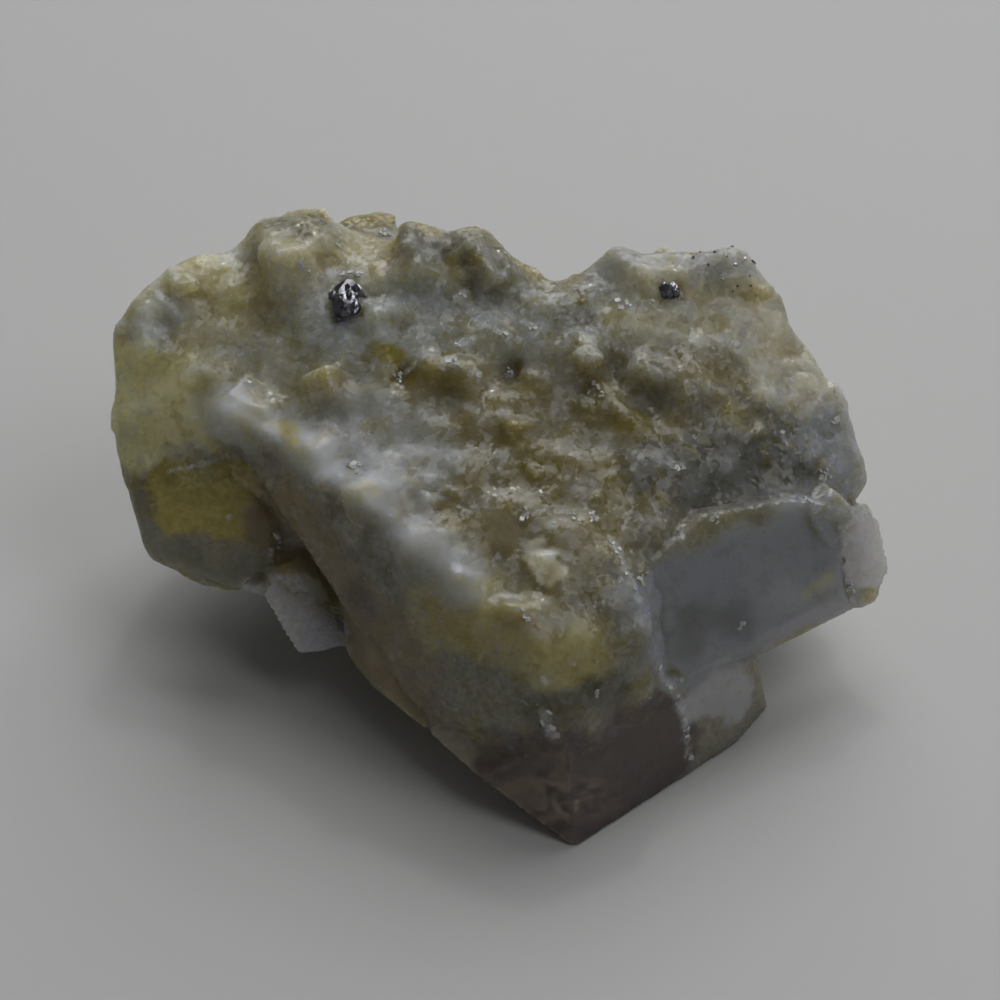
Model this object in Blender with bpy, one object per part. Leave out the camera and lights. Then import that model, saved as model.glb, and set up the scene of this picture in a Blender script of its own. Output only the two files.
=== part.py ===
"""Fluorite with galena: a broken hand specimen about 55 mm wide.

One solid of intergrown fluorite carries small galena crystals, each in a pocket of its own. The
fluorite is built as the real lump is. Large convex blocks bounded by cleavage planes run into each
other, small crystals grow on the broken upper side, cleavage steps roughen it, and clean cube
corners close it at the front and right.

Sizes are in millimetres up to the last step, which writes metres. +X is right, +Y away from the
viewer, +Z up.
"""

import math
import random

import bmesh
import bpy
import numpy as np
from mathutils import Euler, Matrix, Vector, kdtree
from mathutils.bvhtree import BVHTree

# Driving dimensions, in millimetres.
METRES = 0.001
ROUGH_VOXEL = 0.5
TRIANGLES = 7600
POCKET_GAP = 0.3
SEED = 41
ABOVE = 60.0  # a height well over the specimen, from which rays are cast down on it
FACES_UP = 0.3  # a spot whose normal has at least this much Z is on the upper side

# The crystal lattice as it lies: its cube axes turned about Z and tipped.
LATTICE = Euler((math.radians(-14), math.radians(9), math.radians(33)))

# Steps that cleavage leaves on the broken skin: (cell size, height). Upright faces get a share.
CLEAVAGE_STEPS = ((6.0, 0.34), (2.6, 0.24))
UPRIGHT_SHARE = 0.55
STEP_TILT = 0.9
STEP_LIFT = 0.6
STEP_SCATTER = (0.1, 0.9)  # where a step's centre may lie in its cell

# Small crystals on the upper side: how many, edge length, share of the edge sunk under the skin,
# scatter of their turn about the lattice in degrees, and how far they spread in x and y.
CRYSTAL_COUNT = 80
CRYSTAL_EDGE = (1.5, 3.8)
CRYSTAL_SUNK = (0.5, 0.62)
CRYSTAL_SCATTER = 14
CRYSTAL_SPREAD = ((-26, 25), (-15, 20))
CRYSTAL_STRETCH = (0.8, 1.25)
CORNER_CUT = (0.12, 0.5)  # share of the half edge that is broken off a lump's corners

# The large blocks of broken fluorite, each the convex hull of its corners.
ROUGH_BLOCKS = {
    "left_mass": (
        (-27.4, 10.2, 20.6), (-25.4, 13.0, 22.3), (-22.0, 15.4, 23.4), (-18.2, 16.6, 23.6),
        (-22.8, 7.0, 19.0), (-20.6, 5.0, 18.2), (-27.2, 5.4, 16.4), (-26.6, 2.6, 12.2),
        (-24.5, -1.0, 8.4), (-21.0, -2.3, 6.8), (-16.8, -2.5, 6.4), (-16.0, 2.6, 14.6),
        (-16.1, -0.8, 8.8), (-5.0, 8.0, 21.4), (-5.0, 15.0, 22.9), (-5.0, 6.0, 3.0),
        (-5.0, 17.0, 4.0), (-24.0, 13.0, 9.0), (-19.0, 17.0, 7.0), (-13.0, 2.0, 4.0),
    ),
    "front_mass": (
        (-20.3, 4.9, 18.1), (-13.7, -0.2, 17.9), (-6.8, -6.8, 16.5), (-1.3, -12.2, 15.2),
        (2.7, -14.8, 14.1), (6.8, -13.2, 13.4), (9.4, -12.4, 11.4), (10.2, -9.0, 14.0),
        (-13.8, 3.6, 18.9), (-6.5, 3.8, 19.9), (0.0, 4.6, 20.5), (9.0, 3.0, 19.9),
        (13.6, 0.2, 17.6), (-10.2, -4.6, 8.6), (-6.8, -8.6, 8.0), (-7.2, -9.6, 5.0),
        (-4.6, -13.2, 4.4), (-1.4, -15.3, 8.0), (4.2, -17.0, 9.4), (10.2, -13.5, 7.2),
        (-1.2, -16.0, 4.6), (4.8, -18.6, 4.6), (11.8, -13.1, 4.6), (-6.0, 3.0, 4.0),
        (8.0, 6.0, 5.0),
    ),
    "right_lobe": (
        (5.0, 12.8, 23.2), (10.5, 14.0, 24.0), (17.0, 13.9, 24.4), (18.6, 12.4, 23.0),
        (20.2, 10.2, 20.8), (23.8, 7.6, 17.8), (25.3, 5.7, 15.4), (25.6, 3.4, 12.8),
        (10.4, 6.4, 21.0), (15.2, 5.3, 19.9), (19.0, 3.4, 17.4), (4.0, 8.0, 21.8),
        (15.4, 17.6, 19.0), (8.0, 18.4, 19.6), (21.4, 11.6, 13.0), (23.4, 7.0, 8.6),
        (18.0, 12.6, 6.0), (6.0, 18.0, 5.0), (8.0, 4.0, 6.0),
    ),
    "right_flank": (
        (11.0, 5.0, 20.2), (15.2, 4.8, 19.4), (19.0, 3.0, 17.0), (25.3, 4.6, 15.2),
        (26.4, 3.0, 12.7), (13.6, 0.6, 17.8), (10.9, -6.6, 13.8), (13.9, -3.6, 14.8),
        (20.0, -1.0, 14.0), (22.8, -0.2, 12.6), (25.0, 3.6, 9.0), (19.6, 1.0, 7.4),
        (12.0, -6.0, 7.4), (8.0, 2.0, 6.0),
    ),
    "back_mass": (
        (-13.8, 18.0, 22.4), (-17.0, 17.4, 22.2), (-8.9, 20.8, 20.6), (-5.8, 15.0, 23.8),
        (-0.2, 14.0, 23.8), (2.8, 13.2, 23.2), (-10.5, 9.4, 22.2), (-6.4, 5.8, 20.9),
        (0.0, 6.6, 21.4), (6.0, 7.2, 21.6), (-17.0, 18.0, 12.0), (-8.4, 21.2, 11.0),
        (4.0, 19.4, 13.0), (-14.0, 17.0, 5.0), (2.0, 18.5, 4.0), (-14.6, 13.8, 24.0),
        (-5.2, 12.0, 23.6), (-9.0, 13.4, 23.5), (-15.8, 10.4, 22.4), (-13.4, 7.0, 21.3),
        (-9.0, 6.0, 21.0),
    ),
    "core": (
        (-20.0, 6.0, 17.4), (-13.0, 5.6, 18.9), (-6.0, 7.0, 20.0), (1.0, 8.0, 20.6),
        (9.0, 7.0, 20.4), (15.0, 4.6, 18.8), (20.0, 4.0, 15.4), (-20.0, 14.0, 20.0),
        (0.0, 16.0, 20.0), (14.0, 15.0, 20.0), (-17.0, 3.0, 8.0), (-8.0, -4.0, 8.0),
        (6.0, -9.0, 6.0), (18.0, 3.0, 7.6), (16.0, 13.0, 7.0), (-17.0, 14.0, 7.0),
    ),
    "underside": (
        (-11.0, 1.0, 0.8), (-12.0, 10.0, 0.8), (0.0, 15.0, 0.8), (13.0, 10.0, 0.8),
        (-16.0, 0.6, 7.0), (-20.0, 14.0, 8.0), (0.0, 18.6, 7.0), (19.0, 12.0, 7.0),
        (22.0, 3.0, 7.0), (0.0, -8.0, 7.0),
    ),
}

# Lumps that stand up along the skyline and the step: (centre, size, turn in degrees).
KNOBS = {
    "far_left_knob": ((-14.2, 16.0, 22.2), (6.4, 6.4, 4.8), (-14, 12, 33)),
    "pale_knob": ((-9.0, 18.9, 20.3), (4.4, 5.0, 4.0), (-14, 9, 20)),
    "left_peak": ((-5.6, 14.2, 23.3), (3.6, 4.6, 3.9), (20, 15, 10)),
    "right_peak": ((-1.8, 13.8, 23.3), (3.6, 4.4, 3.9), (10, 20, 25)),
    "left_shoulder": ((-21.0, 13.6, 20.4), (5.2, 4.0, 3.4), (15, 10, 40)),
    "end_knob": ((-24.3, 10.2, 19.5), (4.0, 4.0, 3.4), (30, 20, 15)),
    "left_step": ((-21.2, 8.4, 18.3), (3.6, 3.8, 3.2), (6, 4, 16)),
    "ridge_start": ((-17.2, 3.4, 17.5), (6.0, 2.6, 2.4), (5, 10, -38)),
    "ridge_middle": ((-10.2, -2.6, 16.9), (6.4, 2.4, 2.2), (-5, 5, -42)),
    "step_left": ((-10.6, 5.0, 19.2), (5.0, 3.0, 2.4), (10, 10, 5)),
    "step_middle": ((-3.0, 6.0, 20.2), (5.4, 3.0, 2.6), (-10, 5, 10)),
    "step_right": ((4.4, 6.2, 20.7), (5.2, 3.4, 2.4), (15, -10, 0)),
    "step_far_right": ((11.6, 5.8, 20.1), (5.6, 3.2, 2.2), (10, 10, -15)),
}

# Clean crystals with flat faces and crisp edges, each the convex hull of its corners.
CLEAN_CRYSTALS = {
    "corner_cube": (
        (5.1, -20.4, 0.0), (12.8, -13.4, 0.0), (16.4, -10.5, 0.0), (18.8, -6.8, 0.0),
        (17.6, -7.8, 6.9), (11.5, -12.6, 6.9), (10.3, -13.2, 7.6), (4.4, -17.4, 8.0),
        (-2.6, -13.9, 6.2), (-4.8, -13.3, 4.0), (-1.4, -16.7, 3.0), (-1.0, -9.0, 0.0),
        (-9.0, 1.0, 0.0), (-8.0, 9.0, 0.0), (4.0, 12.0, 0.0), (14.0, 8.0, 0.0),
        (-8.0, 4.0, 6.0), (12.0, 8.0, 8.0),
    ),
    "slab": (
        (10.6, -11.0, 9.8), (13.0, -11.2, 7.4), (16.9, -8.2, 8.3), (23.5, -4.1, 8.2),
        (23.2, -0.5, 13.5), (20.0, -1.5, 14.9), (13.7, -4.5, 16.2), (10.6, -7.5, 14.8),
        (13.1, -10.7, 5.4), (17.3, -8.0, 6.6), (25.0, -3.3, 6.4), (24.2, 2.6, 12.4),
        (24.4, 3.6, 8.6), (20.0, 6.0, 6.8), (12.0, 2.0, 13.0), (9.0, -4.0, 7.0),
    ),
    "flake": (
        (22.6, -1.2, 12.9), (25.7, 1.9, 12.0), (26.6, 1.0, 10.7), (27.4, -1.3, 8.0),
        (26.3, -3.2, 6.5), (25.2, -4.0, 6.3), (24.0, 2.4, 9.0), (22.6, 0.4, 8.0),
    ),
    "window_crystal": (
        (-24.2, 3.2, 14.2), (-16.7, 3.0, 14.7), (-16.0, -1.1, 8.9), (-18.6, -2.9, 7.4),
        (-23.4, -1.4, 9.0), (-22.0, 8.0, 14.0), (-14.0, 8.0, 14.0), (-14.0, 4.0, 8.0),
        (-21.0, 4.0, 9.0),
    ),
    "plate": (
        (-16.8, -3.0, 7.4), (-15.4, -2.2, 8.2), (-14.2, -6.1, 4.3), (-11.0, -5.8, 4.7),
        (-11.6, -4.0, 6.4), (-15.2, -0.6, 6.6), (-11.6, -2.6, 4.6), (-13.2, -4.4, 3.9),
    ),
    "plate_root": (
        (-16.6, -2.0, 8.6), (-14.6, -2.0, 9.4), (-13.6, -3.2, 8.0), (-12.0, 2.0, 8.0),
        (-15.6, -1.4, 5.6), (-11.0, -2.0, 5.0),
    ),
    "wall_foot": (
        (-11.2, -3.4, 7.6), (-7.8, -7.4, 7.8), (-6.0, -10.2, 6.6), (-10.7, -5.8, 4.2),
        (-8.8, -8.0, 3.1), (-5.0, -12.4, 3.2), (-8.2, -1.0, 3.4), (-3.0, -8.0, 3.0),
        (-10.0, 0.0, 7.0),
    ),
}

# A pale six-sided crystal end that shows on the front slope: (x, y, depth of its centre under the
# skin), radius, thickness, turn in degrees.
SIX_SIDED_END = ((3.0, -9.0, 0.7), 1.4, 2.0, (44, 4, 10))

# Galena: each piece is one or two intergrown cubes, each (x, y, depth of its centre under the skin),
# edge length, turn in degrees. Their corners are cut by the octahedron, by a share of the half edge.
GALENA = {
    "galena_crystal_large": (
        ((-10.6, 11.0, 0.2), 1.6, (24, -18, 30)),
        ((-10.8, 10.2, 0.35), 1.7, (40, -6, 12)),
    ),
    "galena_crystal_small": (((11.8, 10.9, 0.15), 1.0, (10, 25, 15)),),
}
OCTAHEDRON_CUT = 0.45


def clear_scene():
    for obj in list(bpy.data.objects):
        bpy.data.objects.remove(obj)


def mesh_object(name, bm):
    """A new object that holds this bmesh."""
    mesh = bpy.data.meshes.new(name)
    bm.to_mesh(mesh)
    bm.free()
    obj = bpy.data.objects.new(name, mesh)
    bpy.context.scene.collection.objects.link(obj)
    return obj


def hull(points):
    """The convex hull of these points, as a closed bmesh."""
    bm = bmesh.new()
    for point in points:
        bm.verts.new(point)
    made = bmesh.ops.convex_hull(bm, input=bm.verts)
    inside = [g for g in made["geom_interior"] if isinstance(g, bmesh.types.BMVert)]
    bmesh.ops.delete(bm, geom=inside, context="VERTS")
    bmesh.ops.recalc_face_normals(bm, faces=bm.faces)
    return bm


def lump_corners(centre, size, turn, rng):
    """The corners of a cube with a bit of each one broken off."""
    rotation = Euler([math.radians(a) for a in turn]).to_matrix()
    corners = []
    for sx in (-1, 1):
        for sy in (-1, 1):
            for sz in (-1, 1):
                cut = rng.uniform(*CORNER_CUT)
                for kept in range(3):
                    corner = Vector((sx, sy, sz))
                    corner[kept] *= 1 - cut
                    scaled = Vector([c * s / 2 for c, s in zip(corner, size)])
                    corners.append(rotation @ scaled + Vector(centre))
    return corners


def join(name, parts):
    """These bmeshes as one object, left overlapping."""
    whole = bmesh.new()
    for part in parts:
        piece = bpy.data.meshes.new("piece")
        part.to_mesh(piece)
        part.free()
        whole.from_mesh(piece)
        bpy.data.meshes.remove(piece)
    return mesh_object(name, whole)


def apply_modifiers(obj):
    """Replaces the object's mesh by what its modifiers make of it."""
    bpy.context.view_layer.update()
    graph = bpy.context.evaluated_depsgraph_get()
    mesh = bpy.data.meshes.new_from_object(obj.evaluated_get(graph))
    obj.modifiers.clear()
    obj.data = mesh


def keep_outer_skin(obj):
    """Keeps only the loose shell with the most points: the others close off hollows inside."""
    bm = bmesh.new()
    bm.from_mesh(obj.data)
    unseen = set(bm.verts)
    shells = []
    while unseen:
        shell = {unseen.pop()}
        edge_of_shell = list(shell)
        while edge_of_shell:
            for edge in edge_of_shell.pop().link_edges:
                for vert in edge.verts:
                    if vert in unseen:
                        unseen.discard(vert)
                        shell.add(vert)
                        edge_of_shell.append(vert)
        shells.append(shell)
    largest = max(shells, key=len)
    bmesh.ops.delete(bm, geom=[v for v in bm.verts if v not in largest], context="VERTS")
    bm.to_mesh(obj.data)
    bm.free()


def fuse(obj, voxel):
    """Makes one closed skin of overlapping shapes."""
    remesh = obj.modifiers.new("fuse", "REMESH")
    remesh.mode = "VOXEL"
    remesh.voxel_size = voxel
    apply_modifiers(obj)
    keep_outer_skin(obj)


def positions_and_normals(mesh):
    points = np.empty(len(mesh.vertices) * 3)
    normals = np.empty(len(mesh.vertices) * 3)
    mesh.vertices.foreach_get("co", points)
    mesh.vertex_normals.foreach_get("vector", normals)
    return points.reshape(-1, 3), normals.reshape(-1, 3)


def cleavage_steps(points, cell, height, rng):
    """How far each point stands out. Each of many irregular cells of space is a tilted flat step."""
    low = points.min(0) - cell
    counts = np.ceil((points.max(0) + cell - low) / cell).astype(int)
    grid = np.stack(np.meshgrid(*[np.arange(n) for n in counts], indexing="ij"), -1).reshape(-1, 3)
    centres = low + (grid + rng.uniform(*STEP_SCATTER, grid.shape)) * cell
    tilts = rng.normal(size=grid.shape) * STEP_TILT
    lifts = rng.uniform(-STEP_LIFT, STEP_LIFT, len(grid))
    tree = kdtree.KDTree(len(centres))
    for i, centre in enumerate(centres):
        tree.insert(centre, i)
    tree.balance()
    nearest = np.array([tree.find(p)[1] for p in points])
    away = (points - centres[nearest]) / cell
    return height * np.clip(lifts[nearest] + (tilts[nearest] * away).sum(1), -1, 1)


def roughen(obj, rng):
    """Moves the skin in and out by the cleavage steps, most on the upper side."""
    for cell, height in CLEAVAGE_STEPS:
        points, normals = positions_and_normals(obj.data)
        share = UPRIGHT_SHARE + (1 - UPRIGHT_SHARE) * np.clip(normals[:, 2], 0, 1)
        moved = points + normals * (share * cleavage_steps(points, cell, height, rng))[:, None]
        obj.data.vertices.foreach_set("co", moved.ravel())
        obj.data.update()


def surface_crystals(obj, rng):
    """Small cubes and broken lumps that grow on the upper side, as hull corners."""
    tree = BVHTree.FromObject(obj, bpy.context.evaluated_depsgraph_get())
    crystals = []
    while len(crystals) < CRYSTAL_COUNT:
        spot = Vector([rng.uniform(*spread) for spread in CRYSTAL_SPREAD] + [ABOVE])
        hit, normal, _, _ = tree.ray_cast(spot, Vector((0, 0, -1)))
        if hit is None or normal.z < FACES_UP:
            continue
        size = rng.uniform(*CRYSTAL_EDGE)
        turn = [math.degrees(a) + rng.gauss(0, CRYSTAL_SCATTER) for a in LATTICE]
        centre = hit - normal * size * rng.uniform(*CRYSTAL_SUNK)
        stretch = [size * rng.uniform(*CRYSTAL_STRETCH) for _ in range(3)]
        crystals.append(lump_corners(centre, stretch, turn, rng))
    return crystals


def thin_out(obj, triangles):
    """Takes away triangles where the skin is flattest."""
    obj.data.calc_loop_triangles()
    decimate = obj.modifiers.new("thin", "DECIMATE")
    decimate.ratio = triangles / len(obj.data.loop_triangles)
    decimate.use_collapse_triangulate = True
    apply_modifiers(obj)


def boolean(obj, other, operation):
    """Joins the other object to this one, or cuts it away, and removes it."""
    modifier = obj.modifiers.new(operation.lower(), "BOOLEAN")
    modifier.solver = "EXACT"
    modifier.operation = operation
    modifier.object = other
    apply_modifiers(obj)
    bpy.data.objects.remove(other)
    keep_outer_skin(obj)


def rough_fluorite():
    """The broken mass: blocks, knobs and small crystals fused under one roughened skin."""
    rng = random.Random(SEED)
    noise = np.random.default_rng(SEED)
    blocks = [hull(corners) for corners in ROUGH_BLOCKS.values()]
    knobs = [hull(lump_corners(*knob, rng)) for knob in KNOBS.values()]
    body = join("fluorite", blocks + knobs)
    fuse(body, ROUGH_VOXEL)
    crystals = [hull(corners) for corners in surface_crystals(body, rng)]
    grown = bmesh.new()
    grown.from_mesh(body.data)
    bpy.data.objects.remove(body)
    body = join("fluorite", [grown] + crystals)
    fuse(body, ROUGH_VOXEL)
    roughen(body, noise)
    fuse(body, ROUGH_VOXEL)
    thin_out(body, TRIANGLES)
    return body


def galena_corners(centre, edge, turn, grow=0.0):
    """A cube whose corners are cut by the octahedron, the usual habit of galena."""
    rotation = Euler([math.radians(a) for a in turn]).to_matrix()
    half = edge / 2 + grow
    cut = OCTAHEDRON_CUT * half
    corners = []
    for sx in (-1, 1):
        for sy in (-1, 1):
            for sz in (-1, 1):
                for shortened in range(3):
                    corner = Vector((sx * half, sy * half, sz * half))
                    corner[shortened] -= math.copysign(cut, corner[shortened])
                    corners.append(rotation @ corner + Vector(centre))
    return corners


def under_skin(obj, place):
    """The point at this x and y that lies this deep under the upper skin."""
    x, y, depth = place
    tree = BVHTree.FromObject(obj, bpy.context.evaluated_depsgraph_get())
    hit = tree.ray_cast(Vector((x, y, ABOVE)), Vector((0, 0, -1)))[0]
    return hit - Vector((0, 0, depth))


def six_sided_corners(centre, radius, thickness, turn):
    """The corners of a short six-sided prism whose axis is Z before its turn."""
    rotation = Euler([math.radians(a) for a in turn]).to_matrix()
    corners = []
    for side in range(6):
        angle = math.radians(60 * side)
        for end in (-1, 1):
            corner = Vector((radius * math.cos(angle), radius * math.sin(angle), end * thickness / 2))
            corners.append(rotation @ corner + Vector(centre))
    return corners


def galena_crystal(name, cubes, grow=0.0):
    """Intergrown galena cubes as one solid."""
    hulls = [mesh_object(name, hull(galena_corners(*cube, grow=grow))) for cube in cubes]
    for other in hulls[1:]:
        boolean(hulls[0], other, "UNION")
    return hulls[0]


def material(name, colour, roughness, metallic, transmission=0.0):
    made = bpy.data.materials.new(name)
    made.use_nodes = True
    shader = made.node_tree.nodes["Principled BSDF"]
    shader.inputs["Base Color"].default_value = (*colour, 1)
    shader.inputs["Roughness"].default_value = roughness
    shader.inputs["Metallic"].default_value = metallic
    shader.inputs["Transmission Weight"].default_value = transmission
    return made


def finish(objects):
    """Sets the specimen on the floor, its box centred on the origin, and writes metres."""
    corners = [v.co for obj in objects for v in obj.data.vertices]
    low = Vector([min(c[i] for c in corners) for i in range(3)])
    high = Vector([max(c[i] for c in corners) for i in range(3)])
    shift = Vector(((low.x + high.x) / 2, (low.y + high.y) / 2, low.z))
    for obj in objects:
        obj.data.transform(Matrix.Scale(METRES, 4) @ Matrix.Translation(-shift))


def main():
    clear_scene()
    fluorite = rough_fluorite()
    for name, corners in CLEAN_CRYSTALS.items():
        boolean(fluorite, mesh_object(name, hull(corners)), "UNION")
    place, *shape = SIX_SIDED_END
    prism = hull(six_sided_corners(under_skin(fluorite, place), *shape))
    boolean(fluorite, mesh_object("six_sided_end", prism), "UNION")
    crystals = []
    for name, placed in GALENA.items():
        cubes = [(under_skin(fluorite, place), *shape) for place, *shape in placed]
        boolean(fluorite, galena_crystal(name + "_pocket", cubes, grow=POCKET_GAP), "DIFFERENCE")
        crystals.append(galena_crystal(name, cubes))
    fluorite.data.materials.clear()
    fluorite.data.materials.append(material("fluorite", (0.42, 0.4, 0.22), 0.35, 0.0, 0.4))
    galena = material("galena", (0.32, 0.32, 0.36), 0.25, 1.0)
    for crystal in crystals:
        crystal.data.materials.append(galena)
    finish([fluorite] + crystals)


main()
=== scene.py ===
"""Looks for the fluorite with galena: a fine crystalline skin, its materials, the floor, the lights and the camera.

The CAD solid of the fluorite is copied, grown over with small crystals, fused into one skin and broken into small
cleavage facets. Colours follow named zones of the specimen. The galena crystals are remade with stepped faces.

Shapes are worked out in millimetres in the part's modelling coordinates, and turned into the row frame at the end.
"""

import math
import random

import bmesh
import bpy
import numpy as np
from mathutils import Euler, Matrix, Vector, kdtree, noise
from mathutils.bvhtree import BVHTree


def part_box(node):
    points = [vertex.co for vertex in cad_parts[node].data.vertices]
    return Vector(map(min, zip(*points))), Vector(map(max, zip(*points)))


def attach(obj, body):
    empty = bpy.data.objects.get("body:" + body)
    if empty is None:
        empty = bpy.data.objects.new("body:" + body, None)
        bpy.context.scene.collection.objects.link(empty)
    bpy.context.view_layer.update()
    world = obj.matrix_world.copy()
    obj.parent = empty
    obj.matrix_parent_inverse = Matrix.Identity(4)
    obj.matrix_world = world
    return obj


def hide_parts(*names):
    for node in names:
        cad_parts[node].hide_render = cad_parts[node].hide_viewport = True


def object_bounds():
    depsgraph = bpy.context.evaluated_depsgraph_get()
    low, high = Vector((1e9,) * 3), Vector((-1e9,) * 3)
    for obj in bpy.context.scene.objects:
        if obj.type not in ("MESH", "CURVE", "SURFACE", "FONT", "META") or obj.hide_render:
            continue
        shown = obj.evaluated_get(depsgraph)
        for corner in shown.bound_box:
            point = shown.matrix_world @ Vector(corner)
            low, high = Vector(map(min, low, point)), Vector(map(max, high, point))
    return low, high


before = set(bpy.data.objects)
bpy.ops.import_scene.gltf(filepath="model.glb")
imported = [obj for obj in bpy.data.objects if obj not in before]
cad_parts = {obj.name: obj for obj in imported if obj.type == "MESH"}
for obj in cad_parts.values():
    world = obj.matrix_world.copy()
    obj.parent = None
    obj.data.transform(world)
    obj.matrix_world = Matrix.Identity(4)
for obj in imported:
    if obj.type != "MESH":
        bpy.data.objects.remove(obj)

MM = 0.001
SEED = 7
cad_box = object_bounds()

# The cube corner that touches the floor at the front, in the part's modelling coordinates.
FRONT_CORNER = Vector((5.1, -20.4, 0.0))

# The camera, in the same coordinates.
CAMERA_AT = Vector((0.0, -243.612, 232.889))
CAMERA_PITCH = 48.0
LENS = 170.0

# The fine skin.
BODY_VOXEL = 0.3
SKIN_VOXEL = 0.27
SKIN_TRIANGLES = 190000
SOFTENING = 8          # rounds that take the CAD's facets off the rough faces
CALMING = 12           # more rounds, where the zone's relief is low
CLEAN_FACE_AREA = 4.0  # a flat CAD face larger than this, in square millimetres, is a clean cleavage face
LATTICE = Euler((math.radians(-14), math.radians(9), math.radians(33)))

# Cleavage facets on the skin: (cell size, height on rough faces, height on clean faces).
FACETS = ((2.2, 0.09, 0.0), (0.9, 0.035, 0.005))

# Small crystals grown on the rough skin: (how many, smallest, largest, share sunk in).
GROWTHS = ((170, 1.6, 3.2, 0.62), (200, 0.7, 1.4, 0.52))

# Cells of the sugary facets in the material, per millimetre, and how far each size tilts the light.
FACET_CELLS = (0.75, 1.7, 3.6)
FACET_TILTS = (0.36, 0.32, 0.34)

FLUORITE_IOR = 1.434
GLOW_RADIUS = (5.5, 4.9, 2.8)  # how far light spreads under the surface, in millimetres
ABSORPTION = (0.80, 0.76, 0.60)
ABSORPTION_DENSITY = 60.0

# The colours of the fluorite.
GROUND_COLOUR = (0.40, 0.38, 0.30)
MIST = (0.48, 0.50, 0.46)
HAZE = (0.38, 0.39, 0.39)
BLUE_GREY = (0.52, 0.55, 0.60)
VIOLET_GREY = (0.58, 0.58, 0.68)
PALE_GREY = (0.72, 0.72, 0.78)
LIGHT_GREY = (0.62, 0.62, 0.64)
LEAD_GREY = (0.27, 0.27, 0.31)
SMOKE = (0.20, 0.20, 0.18)
DULL_GREY = (0.30, 0.30, 0.26)
CREAM = (0.66, 0.64, 0.54)
STRAW = (0.68, 0.65, 0.48)
KHAKI = (0.25, 0.24, 0.17)
PALE_OLIVE = (0.85, 0.82, 0.50)
OLIVE = (0.64, 0.59, 0.31)
OLIVE_BROWN = (0.31, 0.27, 0.14)
DEEP_OLIVE = (0.24, 0.21, 0.07)
BROWN = (0.42, 0.34, 0.22)
BROWN_VIOLET = (0.25, 0.20, 0.19)
HONEY = (0.54, 0.47, 0.20)
YELLOW_GLASS = (0.70, 0.62, 0.22)
POCKET_YELLOW = (0.45, 0.38, 0.06)

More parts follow.
